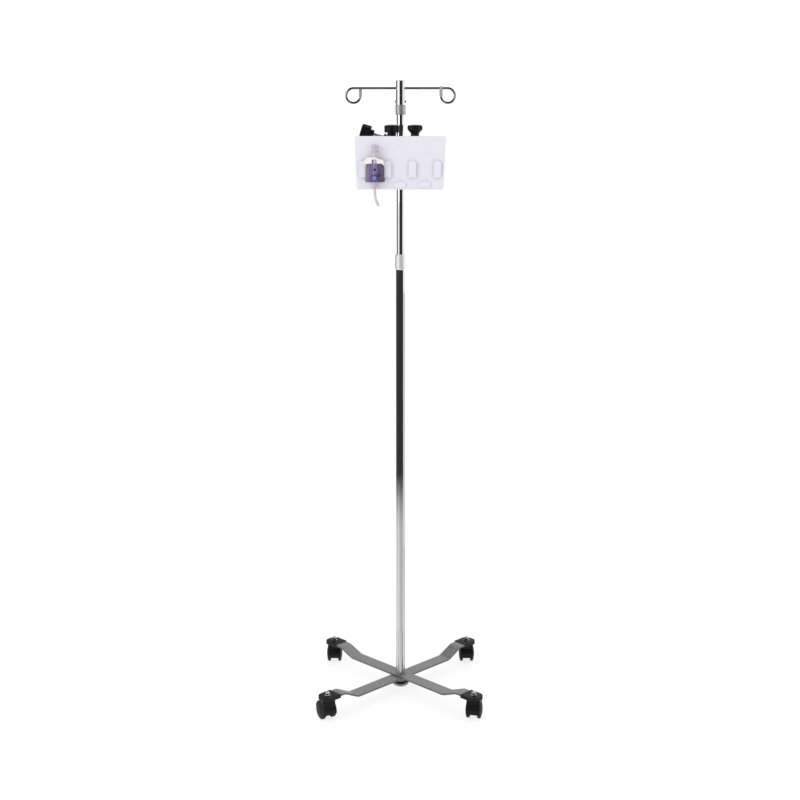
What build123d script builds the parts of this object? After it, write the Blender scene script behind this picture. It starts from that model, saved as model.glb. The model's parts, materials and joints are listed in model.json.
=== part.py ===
"""Telescoping infusion stand with a clamped transducer plate.

Millimetres, +Z up. The origin is on the floor under the pole's axis; -Y is the side that the
transducer plate faces. Each separate piece of the stand is built and written on its own.
"""

from build123d import *
from math import asin, atan2, cos, degrees, pi, radians, sin, tan
import os

os.makedirs("parts", exist_ok=True)

# ---------------------------------------------------------------- driving dimensions
RUN_FIT = 0.06           # radial clearance of shafts that turn or slide
GAP = 0.3                # clearance between pieces that move past each other

# four-leg base
UPPER_ANGLE = -45.0      # front right to rear left
LOWER_ANGLE = 45.0       # rear right to front left
LEG_ANGLES = {"rear_right": 45.0, "rear_left": 135.0, "front_left": 225.0, "front_right": 315.0}
BAR_WIDTH = 40.0
BAR_THICK = 5.0
BAR_TOP = 48.0           # top of the upper bar where the bars cross
BAR_END_TOP = 67.0       # top of both bars at their raised ends
JOGGLE_START = 187.0     # from the pole's axis, along the bar
JOGGLE_END = 236.0
JOGGLE_RADIUS = 30.0
STUD_REACH = 286.8       # caster stem from the pole's axis, along the bar
BAR_REACH = 303.0
SHOE_START = 257.0
SHOE_END = 309.0
SHOE_WIDTH = 46.0
SHOE_BOTTOM = 59.0
SHOE_TOP = 69.5
STEM_RADIUS = 4.0
STEM_TOP = 81.0
WASHER_THICK = 1.5
NUT_HEIGHT = 6.0

# casters, each turned about its own stem
CASTER_TURN = {"rear_right": 0.0, "rear_left": 0.0, "front_left": 31.0, "front_right": -12.0}
WHEEL_RADIUS = 25.0
TRAIL = 8.0              # axle behind the swivel axis
HOOD_RADIUS = 28.0
HOOD_HALF = 19.0
WEB_HALF = 10.5
HOOD_TOP = 57.4
SKIRT_FRONT = 195.5      # lower end of the hood's curved front, degrees about the axle
HOOD_SHOULDER = 135.0    # upper end of the curved front
HOOD_CREST = 58.0        # start of the rear fender's curve
FENDER_END = 12.0
AXLE_RADIUS = 3.0
AXLE_HALF = 18.0
WHEEL_FACE = 23.5        # outermost point of a wheel's dome
WHEEL_DOME = 3.9         # rise of the dome

# pole
TUBE_RADIUS = 12.7
TUBE_BORE = 11.5
TUBE_TOP = 1262.0
CRIMP_BORE = 8.0
CRIMP_HEIGHT = 32.0
CRIMP_DEPTH = 3.2
BOLT_RADIUS = 5.0
DISH_RADIUS = 24.0
DISH_BOTTOM = 15.0
COLLAR_RADIUS = 15.25
COLLAR_BOTTOM = 1228.0
COLLAR_TOP = 1270.0
MAST_RADIUS = 10.65
MAST_BORE = 9.45
MAST_BOTTOM = 694.0
MAST_TOP = 1700.0
GUIDE_HEIGHT = 40.0

# head and hooks
STOP_RADIUS = 13.75
STOP_BOTTOM = 1643.6
HEAD_RADIUS = 12.1
HEAD_BOTTOM = 1669.3
HEAD_TOP = 1733.0
CAP_THICK = 2.2
ROD_RADIUS = 3.0
ROD_HEIGHT = 1713.0
LOOP_RADIUS = 19.2
LOOP_CENTRE = 126.0
LOOP_OFFSET = 8.4        # how far a loop's end stands beside the rod
TIP_RADIUS = 4.1
TIP_LENGTH = 24.0
BUTTON_RADIUS = 3.5
BUTTON_HEIGHT = 1678.0
BUTTON_REACH = 3.3

# pole clamp
CLAMP_BOTTOM = 1534.0
CLAMP_TOP = 1583.0
LINER_RADIUS = 12.25
SCREW_TILT = 17.0        # clamp screw above the horizontal
SCREW_CROSS = 1569.8     # height at which its line crosses the pole's axis
CLAMP_SCREW_RADIUS = 4.5
CLAMP_KNOB_REACH = 86.0  # knob's inner face along the screw, from the pole's axis
CLAMP_KNOB_THICK = 26.0
KNOB_HUB_LENGTH = 10.0
STAR_RADIUS = 20.0
STAR_LOBES = 5

# plate bracket and its two locking screws
LOCK_Y = -36.0
LOCK_X = (-23.5, 38.2)
LOCK_SCREW_RADIUS = 4.0
LOCK_KNOB_RADIUS = 20.3
KNOB_HUB_BOTTOM = 1586.0
KNOB_DISC_BOTTOM = 1597.0
KNOB_TOP = 1618.0
BRACKET_LEFT = -42.0
BRACKET_RIGHT = 58.0
BRACKET_BACK = -20.0
BRACKET_FRONT = -51.0
BRACKET_BOTTOM = 1546.0
BRACKET_TOP = 1582.0
BRACKET_SCREW_X = (-12.0, 20.0)
BRACKET_SCREW_Z = 1562.0
BRACKET_SCREW_RADIUS = 2.5
TONGUE_BOTTOM = 1552.3
TONGUE_TOP = 1564.3

# transducer plate
PLATE_X = -2.0
PLATE_FRONT = 62.0       # distance of its front face from the pole's axis
PLATE_DEPTH = 10.0
PLATE_WALL = 3.0
PLATE_TOP = 1588.0
PLATE_BOTTOM = 1448.0
PLATE_TOP_HALF = 122.0
PLATE_BOTTOM_HALF = 116.5
RAIL_PITCH = 66.2
RAIL_BOTTOM = 1480.0
RAIL_HEIGHT = 43.0
RAIL_HALF = 10.0
RAIL_STEM_HALF = 6.0
RAIL_GAP = 4.0           # undercut behind a rail's head
RAIL_HEAD = 2.5
SHELF_TOP = 1467.5
SHELF_HEIGHT = 14.5
SHELF_HALF = 14.75
SHELF_DEPTH = 3.5

# pressure transducer
UNIT_X = PLATE_X - RAIL_PITCH
FLOW_Y = -76.0           # axis of its fluid path
UNIT_BACK = -62.4
UNIT_SPLIT = -65.4
UNIT_FRONT = -83.0
UNIT_BOTTOM = 1468.0
UNIT_TOP = 1517.0
FLOW_RADIUS = 2.5
NECK_RADIUS = 6.0
NECK_TOP = 1546.0
NECK_TIP = 1558.0
LUER_RADIUS = 8.6
LUER_TOP = 1565.5
VALVE_X = UNIT_X - 1.5
VALVE_Z = 1479.0
VALVE_THICK = 5.0
LEVER_THICK = 2.7
COLUMN_RADIUS = 8.5      # rounded middle of the body's front
COLUMN_BOTTOM = 1488.0
SENSOR_HEIGHT = 1494.0
PORT_HEIGHT = 1501.0
PORT_RADIUS = 6.5
WING_BACK = -69.0
WING_THICK = 6.0
SHOULDER_DEPTH = 15.2
SHOULDER_BAR = 1527.5    # underside of the bar in front of the neck
NOZZLE_BOTTOM = 1452.0
TUBE_DIAMETER = 8.0
# centreline of the short outlet tube
OUTLET_ROUTE = [
    (UNIT_X, FLOW_Y, NOZZLE_BOTTOM),
    (UNIT_X, FLOW_Y, 1440.3),
    (UNIT_X + 1.1, FLOW_Y, 1428.0),
    (UNIT_X + 4.5, FLOW_Y, 1416.2),
    (UNIT_X + 9.8, FLOW_Y, 1405.6),
]


def save(part, name):
    """Labels a finished piece and writes it to its own file."""
    part.label = name
    export_step(part, f"parts/{name}.step")


def turned_profile(points, axis=Axis.Z):
    """A solid of revolution about the pole's axis from (radius, height) points."""
    with BuildPart() as turned:
        with BuildSketch(Plane.XZ):
            with BuildLine():
                Polyline(*points, close=True)
            make_face()
        revolve(axis=axis)
    return turned


def dome_arc(apex, rise, reach, along=(1, 0)):
    """Centre, radius and half angle of a dome that rises by `rise` over a disc of radius `reach`."""
    radius = (rise**2 + reach**2) / (2 * rise)
    centre = (apex[0] - along[0] * radius, apex[1] - along[1] * radius)
    return centre, radius, degrees(asin(reach / radius))


def along_bar(angle, reach=0.0, height=0.0):
    """Plane at a reach along a leg: x outward along it, z up."""
    a = radians(angle)
    return Plane(
        origin=(reach * cos(a), reach * sin(a), height),
        x_dir=(cos(a), sin(a), 0),
        z_dir=(0, 0, 1),
    )


# ---------------------------------------------------------------- base


def leg_bar(angle, top):
    """A flat bar across the base, its two ends stepped up."""
    low = top - BAR_THICK / 2
    high = BAR_END_TOP - BAR_THICK / 2
    side = Plane(origin=(0, 0, 0), x_dir=along_bar(angle).x_dir, z_dir=-along_bar(angle).y_dir)
    with BuildPart() as bar:
        with BuildLine(side) as route:
            FilletPolyline(
                (-BAR_REACH, high),
                (-JOGGLE_END, high),
                (-JOGGLE_START, low),
                (JOGGLE_START, low),
                (JOGGLE_END, high),
                (BAR_REACH, high),
                radius=JOGGLE_RADIUS,
            )
        with BuildSketch(Plane(origin=route.line @ 0, x_dir=side.z_dir, z_dir=route.line % 0)):
            Rectangle(BAR_WIDTH, BAR_THICK)
        sweep()
        with Locations(Location((0, 0, top))):
            Hole(radius=BOLT_RADIUS + 0.2, depth=BAR_THICK * 2)
        for end in (angle, angle + 180):
            with Locations(along_bar(end, STUD_REACH, BAR_END_TOP)):
                Hole(radius=STEM_RADIUS + 0.2, depth=BAR_THICK * 2)
        corners = bar.edges().filter_by(Axis.Z).filter_by(lambda e: e.length > BAR_THICK - 0.1)
        fillet(corners, radius=8.0)
    return bar


save(leg_bar(UPPER_ANGLE, BAR_TOP).part, "leg_bar_upper")
save(leg_bar(LOWER_ANGLE, BAR_TOP - BAR_THICK).part, "leg_bar_lower")


def shoe(angle):
    """Black cap over a bar's end, open towards the pole."""
    floor_plane = along_bar(angle, SHOE_START, SHOE_BOTTOM)
    length = SHOE_END - SHOE_START
    slot_plane = along_bar(angle, SHOE_START, BAR_END_TOP - BAR_THICK)
    with BuildPart() as cap:
        with BuildSketch(floor_plane):
            with Locations((length / 2, 0)):
                Rectangle(length, SHOE_WIDTH)
        extrude(amount=SHOE_TOP - SHOE_BOTTOM)
        upright = cap.edges().filter_by(Axis.Z)
        far = upright.sort_by(lambda e: (e @ 0.5).X ** 2 + (e @ 0.5).Y ** 2)[-2:]
        fillet(far, radius=17.0)
        fillet(cap.faces().sort_by(Axis.Z)[-1].edges(), radius=1.4)
        with BuildSketch(slot_plane):
            with Locations(((BAR_REACH - SHOE_START) / 2, 0)):
                Rectangle(BAR_REACH - SHOE_START, BAR_WIDTH)
        extrude(amount=BAR_THICK, mode=Mode.SUBTRACT)
        with Locations(along_bar(angle, STUD_REACH, SHOE_TOP)):
            Hole(radius=STEM_RADIUS + 0.2, depth=SHOE_TOP - SHOE_BOTTOM)
    return cap.part


def stem(angle):
    """Threaded caster stem with a flange under the shoe and a plain swivel pin below."""
    with BuildPart() as bolt:
        with BuildSketch(along_bar(angle, STUD_REACH, HOOD_TOP - 25.4)):
            Circle(STEM_RADIUS)
        extrude(amount=STEM_TOP - HOOD_TOP + 25.4)
        chamfer(bolt.edges().group_by(Axis.Z)[-1], length=1.0)
        with BuildSketch(along_bar(angle, STUD_REACH, HOOD_TOP + GAP)):
            Circle(7.5)
        extrude(amount=SHOE_BOTTOM - HOOD_TOP - GAP)
    return bolt.part


def washer(angle):
    with BuildPart() as ring:
        with BuildSketch(along_bar(angle, STUD_REACH, SHOE_TOP)):
            Circle(8.5)
            Circle(STEM_RADIUS + 0.2, mode=Mode.SUBTRACT)
        extrude(amount=WASHER_THICK)
    return ring.part


def nut(angle):
    """Hexagon nut with chamfered corners on both faces."""
    with BuildPart() as hexagon:
        with BuildSketch(along_bar(angle, STUD_REACH, SHOE_TOP + WASHER_THICK)):
            RegularPolygon(6.5, 6, major_radius=False)
            Circle(STEM_RADIUS, mode=Mode.SUBTRACT)
        extrude(amount=NUT_HEIGHT)
        ends = hexagon.edges().filter_by(GeomType.LINE).filter_by(Axis.Z, reverse=True)
        chamfer(ends, length=0.7)
    return hexagon.part


def group_of(pieces, name):
    """Identical pieces, kept as separate solids of one node."""
    save(Compound(children=pieces), name)


group_of([shoe(a) for a in LEG_ANGLES.values()], "leg_end_shoes")
group_of([stem(a) for a in LEG_ANGLES.values()], "caster_stems")
group_of([washer(a) for a in LEG_ANGLES.values()], "stem_washers")
group_of([nut(a) for a in LEG_ANGLES.values()], "stem_nuts")

# shallow dish and hub under the crossing
bars_underside = BAR_TOP - 2 * BAR_THICK
base_dish = turned_profile(
    [
        (BOLT_RADIUS + 0.2, bars_underside),
        (12, bars_underside),
        (13, DISH_BOTTOM + 4),
        (DISH_RADIUS - 3, DISH_BOTTOM + 3),
        (DISH_RADIUS - 2, DISH_BOTTOM + 8),
        (DISH_RADIUS, DISH_BOTTOM + 8),
        (DISH_RADIUS - 0.5, DISH_BOTTOM + 2.5),
        (DISH_RADIUS - 3, DISH_BOTTOM),
        (BOLT_RADIUS + 0.2, DISH_BOTTOM),
    ]
)
save(base_dish.part, "base_dish")

with BuildPart() as base_bolt:
    with BuildSketch(Plane.XY.offset(DISH_BOTTOM - 6.5)):
        RegularPolygon(8.5, 6, major_radius=False)
    extrude(amount=6.5)
    chamfer(base_bolt.edges().group_by(Axis.Z)[0], length=0.9)
    with BuildSketch(Plane.XY.offset(DISH_BOTTOM)):
        Circle(BOLT_RADIUS)
    extrude(amount=BAR_TOP + CRIMP_HEIGHT - 8 - DISH_BOTTOM)
save(base_bolt.part, "base_bolt")

with BuildPart() as tube_end_plug:
    with BuildSketch(Plane.XY.offset(BAR_TOP)):
        Circle(CRIMP_BORE)
    extrude(amount=CRIMP_HEIGHT)
    with BuildSketch(Plane.XY.offset(BAR_TOP)):
        Circle(BOLT_RADIUS)
    extrude(amount=CRIMP_HEIGHT - 6, mode=Mode.SUBTRACT)
save(tube_end_plug.part, "tube_end_plug")

# outer tube, its lower end crimped to four lobes round the plug
crimp_tool = 6.0
crimp_tilt = degrees(atan2(CRIMP_DEPTH, CRIMP_HEIGHT))
with BuildPart() as outer_tube:
    with BuildSketch(Plane.XY.offset(BAR_TOP)):
        Circle(TUBE_RADIUS)
        Circle(CRIMP_BORE, mode=Mode.SUBTRACT)
    extrude(amount=CRIMP_HEIGHT)
    with BuildSketch(Plane.XY.offset(BAR_TOP + CRIMP_HEIGHT)):
        Circle(TUBE_RADIUS)
        Circle(TUBE_BORE, mode=Mode.SUBTRACT)
    extrude(amount=TUBE_TOP - BAR_TOP - CRIMP_HEIGHT)
    for valley in (45, 135, 225, 315):
        foot = along_bar(valley, TUBE_RADIUS - CRIMP_DEPTH + crimp_tool, BAR_TOP)
        with Locations(foot):
            Cylinder(
                crimp_tool,
                CRIMP_HEIGHT * 4,
                rotation=(0, crimp_tilt, 0),
                mode=Mode.SUBTRACT,
            )
save(outer_tube.part, "outer_tube")

# nylon collet in the tube's mouth
with BuildPart() as lock_collet:
    with BuildSketch(Plane.XY.offset(TUBE_TOP - 28)):
        Circle(TUBE_BORE - 0.05)
        Circle(MAST_RADIUS + 0.1, mode=Mode.SUBTRACT)
    extrude(amount=28)
    with BuildSketch(Plane.XY.offset(TUBE_TOP)):
        Circle(TUBE_RADIUS)
        Circle(MAST_RADIUS + 0.1, mode=Mode.SUBTRACT)
    extrude(amount=3)
    with BuildSketch(Plane.XY.offset(TUBE_TOP - 28)):
        with Locations((TUBE_BORE, 0)):
            Rectangle(TUBE_BORE, 2.0)
    extrude(amount=31, mode=Mode.SUBTRACT)
save(lock_collet.part, "lock_collet")

# twist-lock collar
collar_bevel = 2.2
lock_collar = turned_profile(
    [
        (TUBE_RADIUS + 0.15, COLLAR_BOTTOM),
        (COLLAR_RADIUS - collar_bevel, COLLAR_BOTTOM),
        (COLLAR_RADIUS, COLLAR_BOTTOM + collar_bevel * 1.5),
        (COLLAR_RADIUS, COLLAR_TOP - collar_bevel * 1.5),
        (COLLAR_RADIUS - collar_bevel, COLLAR_TOP),
        (MAST_RADIUS + 0.2, COLLAR_TOP),
        (MAST_RADIUS + 0.2, TUBE_TOP + 3 + GAP),
        (TUBE_RADIUS + 0.15, TUBE_TOP + 3 + GAP),
    ]
)
save(lock_collar.part, "lock_collar")

# ---------------------------------------------------------------- casters
stem_socket_depth = 26.0
hood_front_top = -10.5   # front edge of the hood's flat top
hood_top_round = 5.0
tread_gap = 0.8          # between a tyre and the hood over it


def on_hood(angle):
    """Point (y, z) of the hood's outer curve, at an angle about the axle from +Y."""
    turn = radians(angle)
    return TRAIL + HOOD_RADIUS * cos(turn), WHEEL_RADIUS + HOOD_RADIUS * sin(turn)


def caster_hood():
    """Hood of a twin-wheel caster: a web between the wheels, a curved front and a fender."""
    with BuildPart() as hood:
        with BuildSketch(Plane.YZ.offset(-HOOD_HALF)):
            with BuildLine():
                ThreePointArc(on_hood(SKIRT_FRONT), on_hood(165), on_hood(HOOD_SHOULDER))
                Polyline(
                    on_hood(HOOD_SHOULDER),
                    (hood_front_top, HOOD_TOP),
                    (TRAIL + 1, HOOD_TOP),
                    on_hood(HOOD_CREST),
                )
                ThreePointArc(on_hood(HOOD_CREST), on_hood(35), on_hood(FENDER_END))
                Polyline(
                    on_hood(FENDER_END),
                    (TRAIL + 8, WHEEL_RADIUS - 8),
                    (TRAIL, WHEEL_RADIUS - 11),
                    (TRAIL - 10, WHEEL_RADIUS - 10),
                    on_hood(SKIRT_FRONT),
                )
            make_face()
        extrude(amount=2 * HOOD_HALF)
        top_front = hood.edges().filter_by(Axis.X).group_by(Axis.Z)[-1].sort_by(Axis.Y)
        fillet(top_front[0], radius=hood_top_round)
        sides = hood.faces().filter_by(Axis.X)
        fillet(sides.edges().filter_by(lambda e: (e @ 0.5).Z > WHEEL_RADIUS + 2), radius=1.6)
        for side in (-1, 1):
            with BuildSketch(Plane.YZ.offset(side * WEB_HALF)):
                with Locations((TRAIL, WHEEL_RADIUS)):
                    Circle(WHEEL_RADIUS + tread_gap)
            extrude(amount=side * (HOOD_HALF - WEB_HALF + 1), mode=Mode.SUBTRACT)
        with BuildSketch(Plane.XY.offset(HOOD_TOP)):
            Circle(STEM_RADIUS + RUN_FIT)
        extrude(amount=-stem_socket_depth, mode=Mode.SUBTRACT)
        with BuildSketch(Plane.YZ.offset(-WEB_HALF - 1)):
            with Locations((TRAIL, WHEEL_RADIUS)):
                Circle(AXLE_RADIUS)
        extrude(amount=2 * WEB_HALF + 2, mode=Mode.SUBTRACT)
    return hood.part


def caster_axle():
    with BuildPart() as axle:
        with BuildSketch(Plane.YZ.offset(-AXLE_HALF)):
            with Locations((TRAIL, WHEEL_RADIUS)):
                Circle(AXLE_RADIUS)
        extrude(amount=2 * AXLE_HALF)
    return axle.part


def caster_wheel(side):
    """Domed wheel on one side of the hood; side is -1 or 1."""
    hub = WEB_HALF + 0.4
    bore = AXLE_RADIUS + RUN_FIT
    end = AXLE_HALF + GAP
    axle_line = Axis((0, TRAIL, WHEEL_RADIUS), (1, 0, 0))
    face = Plane(origin=(0, TRAIL, WHEEL_RADIUS), x_dir=(side, 0, 0), z_dir=(0, side, 0))
    with BuildPart() as wheel:
        with BuildSketch(face):
            with BuildLine():
                Polyline(
                    (end, 0),
                    (end, bore),
                    (hub, bore),
                    (hub, 7),
                    (16, 8),
                    (16, 20.5),
                    (11.6, 21.5),
                    (11.6, 24),
                    (12.6, WHEEL_RADIUS),
                    (18.5, WHEEL_RADIUS),
                    (WHEEL_FACE - WHEEL_DOME, WHEEL_RADIUS - 1.4),
                )
                centre, radius, spread = dome_arc((WHEEL_FACE, 0), WHEEL_DOME, WHEEL_RADIUS - 1.4)
                CenterArc(centre, radius, 0, spread)
                Line((WHEEL_FACE, 0), (end, 0))
            make_face()
        revolve(axis=axle_line)
    return wheel.part


hood_at_origin = caster_hood()
axle_at_origin = caster_axle()
left_at_origin = caster_wheel(-1)
right_at_origin = caster_wheel(1)
for corner, leg in LEG_ANGLES.items():
    spot = along_bar(leg, STUD_REACH).origin
    place = Location((spot.X, spot.Y, 0), (0, 0, CASTER_TURN[corner]))
    save(hood_at_origin.moved(place), f"caster_{corner}_hood")
    save(axle_at_origin.moved(place), f"caster_{corner}_axle")
    save(left_at_origin.moved(place), f"caster_{corner}_wheel_left")
    save(right_at_origin.moved(place), f"caster_{corner}_wheel_right")

# ---------------------------------------------------------------- mast and head
guide_floor = 4.0
mast_guide = turned_profile(
    [
        (0, MAST_BOTTOM - GAP - guide_floor),
        (TUBE_BORE - 0.1, MAST_BOTTOM - GAP - guide_floor),
        (TUBE_BORE - 0.1, MAST_BOTTOM - GAP - guide_floor + GUIDE_HEIGHT),
        (MAST_RADIUS + 0.1, MAST_BOTTOM - GAP - guide_floor + GUIDE_HEIGHT),
        (MAST_RADIUS + 0.1, MAST_BOTTOM - GAP),
        (0, MAST_BOTTOM - GAP),
    ]
)
save(mast_guide.part, "mast_guide")

with BuildPart() as mast_tube:
    with BuildSketch(Plane.XY.offset(MAST_BOTTOM)):
        Circle(MAST_RADIUS)
        Circle(MAST_BORE, mode=Mode.SUBTRACT)
    extrude(amount=MAST_TOP - MAST_BOTTOM)
    with BuildSketch(Plane.YZ):
        with Locations((0, BUTTON_HEIGHT)):
            Circle(BUTTON_RADIUS + RUN_FIT)
    extrude(amount=MAST_RADIUS + 1, both=True, mode=Mode.SUBTRACT)
save(mast_tube.part, "mast_tube")

with BuildPart() as head_sleeve:
    with BuildSketch(Plane.XY.offset(HEAD_BOTTOM)):
        Circle(HEAD_RADIUS)
        Circle(MAST_RADIUS + 0.1, mode=Mode.SUBTRACT)
    extrude(amount=HEAD_TOP - CAP_THICK - HEAD_BOTTOM)
    with BuildSketch(Plane.YZ):
        with Locations((0, BUTTON_HEIGHT)):
            Circle(BUTTON_RADIUS + RUN_FIT)
        with Locations((0, ROD_HEIGHT)):
            Circle(ROD_RADIUS)
    extrude(amount=HEAD_RADIUS + 1, both=True, mode=Mode.SUBTRACT)
save(head_sleeve.part, "head_sleeve")

head_cap = turned_profile(
    [
        (0, HEAD_TOP),
        (HEAD_RADIUS - 0.6, HEAD_TOP),
        (HEAD_RADIUS, HEAD_TOP - 0.6),
        (HEAD_RADIUS, HEAD_TOP - CAP_THICK),
        (MAST_RADIUS, HEAD_TOP - CAP_THICK),
        (MAST_RADIUS - 0.2, HEAD_TOP - 11),
        (0, HEAD_TOP - 11),
    ]
)
save(head_cap.part, "head_cap")

stop_collar = turned_profile(
    [
        (MAST_RADIUS, STOP_BOTTOM),
        (STOP_RADIUS - 1.4, STOP_BOTTOM),
        (STOP_RADIUS, STOP_BOTTOM + 2.4),
        (STOP_RADIUS, HEAD_BOTTOM - 0.6),
        (STOP_RADIUS - 0.6, HEAD_BOTTOM),
        (MAST_RADIUS, HEAD_BOTTOM),
    ]
)
save(stop_collar.part, "stop_collar")


def loop_points(side):
    """Joints of a hook's path: rod end, outermost point, loop bottom, end of the turn, arc middle."""
    shift = side * LOOP_OFFSET
    across = (4 * LOOP_RADIUS**2 - LOOP_OFFSET**2) ** 0.5
    centre_height = ROD_HEIGHT - LOOP_RADIUS
    far = side * (LOOP_CENTRE + LOOP_RADIUS)
    rod_end = (side * LOOP_CENTRE, 0, ROD_HEIGHT)
    shoulder = (
        side * (LOOP_CENTRE + LOOP_RADIUS * sin(radians(45))),
        0,
        centre_height + LOOP_RADIUS * cos(radians(45)),
    )
    outermost = (far, 0, centre_height)
    bottom = (far - side * across / 2, -shift / 2, centre_height - LOOP_RADIUS)
    inner = (far - side * across, -shift, centre_height)
    return rod_end, shoulder, outermost, bottom, inner


TIP_BASE = {-1: ROD_HEIGHT - LOOP_RADIUS - 3.0, 1: ROD_HEIGHT - LOOP_RADIUS}
with BuildPart() as hook_rod:
    with BuildLine() as hook_path:
        left = loop_points(-1)
        right = loop_points(1)
        left_top = (left[4][0], left[4][1], TIP_BASE[-1] + TIP_LENGTH - 3)
        right_top = (right[4][0], right[4][1], TIP_BASE[1] + TIP_LENGTH - 3)
        Line(left_top, left[4])
        ThreePointArc(left[4], left[3], left[2])
        ThreePointArc(left[2], left[1], left[0])
        Line(left[0], right[0])
        ThreePointArc(right[0], right[1], right[2])
        ThreePointArc(right[2], right[3], right[4])
        Line(right[4], right_top)
    with BuildSketch(Plane(origin=left_top, z_dir=(0, 0, -1))):
        Circle(ROD_RADIUS)
    sweep(path=hook_path.line)
save(hook_rod.part, "hook_rod")


def hook_tip(side):
    """Soft grey sleeve over the end of a hook."""
    at = loop_points(side)[4]
    with BuildPart() as tip:
        with BuildSketch(Plane.XY.offset(TIP_BASE[side])):
            with Locations((at[0], at[1])):
                Circle(TIP_RADIUS)
        extrude(amount=TIP_LENGTH)
        fillet(tip.edges().group_by(Axis.Z)[-1], radius=2.0)
        with BuildSketch(Plane.XY.offset(ROD_HEIGHT - LOOP_RADIUS)):
            with Locations((at[0], at[1])):
                Circle(ROD_RADIUS)
        extrude(amount=TIP_BASE[side] + TIP_LENGTH - 3 - ROD_HEIGHT + LOOP_RADIUS, mode=Mode.SUBTRACT)
        with BuildLine():
            path = ThreePointArc(loop_points(side)[4], loop_points(side)[3], loop_points(side)[2])
        with BuildSketch(Plane(origin=at, z_dir=(0, 0, -1))):
            Circle(ROD_RADIUS)
        sweep(path=path, mode=Mode.SUBTRACT)
    return tip.part


group_of([hook_tip(-1), hook_tip(1)], "hook_tips")


def snap_button(side):
    """Round button that stands through the mast and the sleeve, with a foot inside the mast."""
    with BuildPart() as button:
        with BuildSketch(Plane.YZ.offset(side * 5.2)):
            with Locations((0, BUTTON_HEIGHT)):
                Circle(BUTTON_RADIUS)
        extrude(amount=side * (HEAD_RADIUS + BUTTON_REACH - 5.2))
        fillet(button.edges().sort_by(Axis.X)[-1 if side > 0 else 0], radius=1.6)
        with BuildSketch(Plane.YZ.offset(side * 5.2)):
            with Locations((0, BUTTON_HEIGHT)):
                Circle(BUTTON_RADIUS + 1.3)
        extrude(amount=side * 1.6)
    return button.part


save(snap_button(-1), "snap_button_left")
save(snap_button(1), "snap_button_right")

# leaf spring that pushes the two buttons apart
leg_outer = 5.0
leg_thick = 0.8
spring_low = BUTTON_HEIGHT - 36
with BuildPart() as snap_spring:
    with BuildSketch(Plane.XZ):
        with BuildLine():
            Polyline(
                (-leg_outer, BUTTON_HEIGHT + 5),
                (-leg_outer, BUTTON_HEIGHT - 6),
                (-2.5, spring_low),
                (2.5, spring_low),
                (leg_outer, BUTTON_HEIGHT - 6),
                (leg_outer, BUTTON_HEIGHT + 5),
                (leg_outer - leg_thick, BUTTON_HEIGHT + 5),
                (leg_outer - leg_thick, BUTTON_HEIGHT - 6),
                (2.0, spring_low + leg_thick),
                (-2.0, spring_low + leg_thick),
                (-leg_outer + leg_thick, BUTTON_HEIGHT - 6),
                (-leg_outer + leg_thick, BUTTON_HEIGHT + 5),
                close=True,
            )
        make_face()
    extrude(amount=3.5, both=True)
save(snap_spring.part, "snap_spring")

# ---------------------------------------------------------------- pole clamp
flange = LINER_RADIUS + 2.75
clamp_liner = turned_profile(
    [
        (MAST_RADIUS + 0.08, CLAMP_BOTTOM - 3.5),
        (flange, CLAMP_BOTTOM - 3.5),
        (flange, CLAMP_BOTTOM - GAP),
        (LINER_RADIUS, CLAMP_BOTTOM - GAP),
        (LINER_RADIUS, CLAMP_TOP + GAP),
        (flange, CLAMP_TOP + GAP),
        (flange, CLAMP_TOP + 2.2),
        (MAST_RADIUS + 0.08, CLAMP_TOP + 2.2),
    ]
)
save(clamp_liner.part, "clamp_liner")

screw_out = Vector(-cos(radians(SCREW_TILT)), 0, sin(radians(SCREW_TILT)))


def on_clamp_screw(reach):
    """Plane across the clamp screw, at a reach outward from the pole's axis."""
    origin = Vector(0, 0, SCREW_CROSS) + screw_out * reach
    return Plane(origin=origin, x_dir=(0, 1, 0), z_dir=screw_out)


clamp_left = -43.0
clamp_right = 30.0
web_front = BRACKET_BACK
web_back = -13.4
cavity_left = -30.5
clamp_rear = 17.0
vee = (LINER_RADIUS + 0.06) * 2**0.5
vee_half = -web_back
with BuildPart() as clamp_body:
    with BuildSketch(Plane.XY.offset(CLAMP_BOTTOM)):
        with BuildLine():
            Polyline(
                (clamp_left, web_front),
                (clamp_right, web_front),
                (clamp_right, clamp_rear),
                (vee - vee_half, clamp_rear),
                (vee - vee_half, vee_half),
                (vee, 0),
                (vee - vee_half, -vee_half),
                (cavity_left, web_back),
                (cavity_left, clamp_rear),
                (clamp_left, clamp_rear),
                close=True,
            )
        make_face()
    extrude(amount=CLAMP_TOP - CLAMP_BOTTOM)
    outer = clamp_body.edges().filter_by(Axis.Z).filter_by(
        lambda e: (e @ 0.5).X in (clamp_left, clamp_right) or abs((e @ 0.5).X - clamp_right) < 0.01
    )
    fillet(outer, radius=4.0)
    with BuildSketch(on_clamp_screw(31.6)):
        Circle(11.0)
    extrude(amount=17.5)
    with BuildSketch(Plane.YZ.offset(cavity_left)):
        with Locations((0, (CLAMP_BOTTOM + CLAMP_TOP) / 2 + 5)):
            Rectangle(29.0, CLAMP_TOP - CLAMP_BOTTOM + 30)
    extrude(amount=30.0, mode=Mode.SUBTRACT)
    with BuildSketch(on_clamp_screw(20)):
        Circle(CLAMP_SCREW_RADIUS + RUN_FIT)
    extrude(amount=45, mode=Mode.SUBTRACT)
    for screw_x in BRACKET_SCREW_X:
        with BuildSketch(Plane.XZ.offset(-web_front)):
            with Locations((screw_x, BRACKET_SCREW_Z)):
                Circle(BRACKET_SCREW_RADIUS)
        extrude(amount=-5.5, mode=Mode.SUBTRACT)
save(clamp_body.part, "clamp_body")

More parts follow.
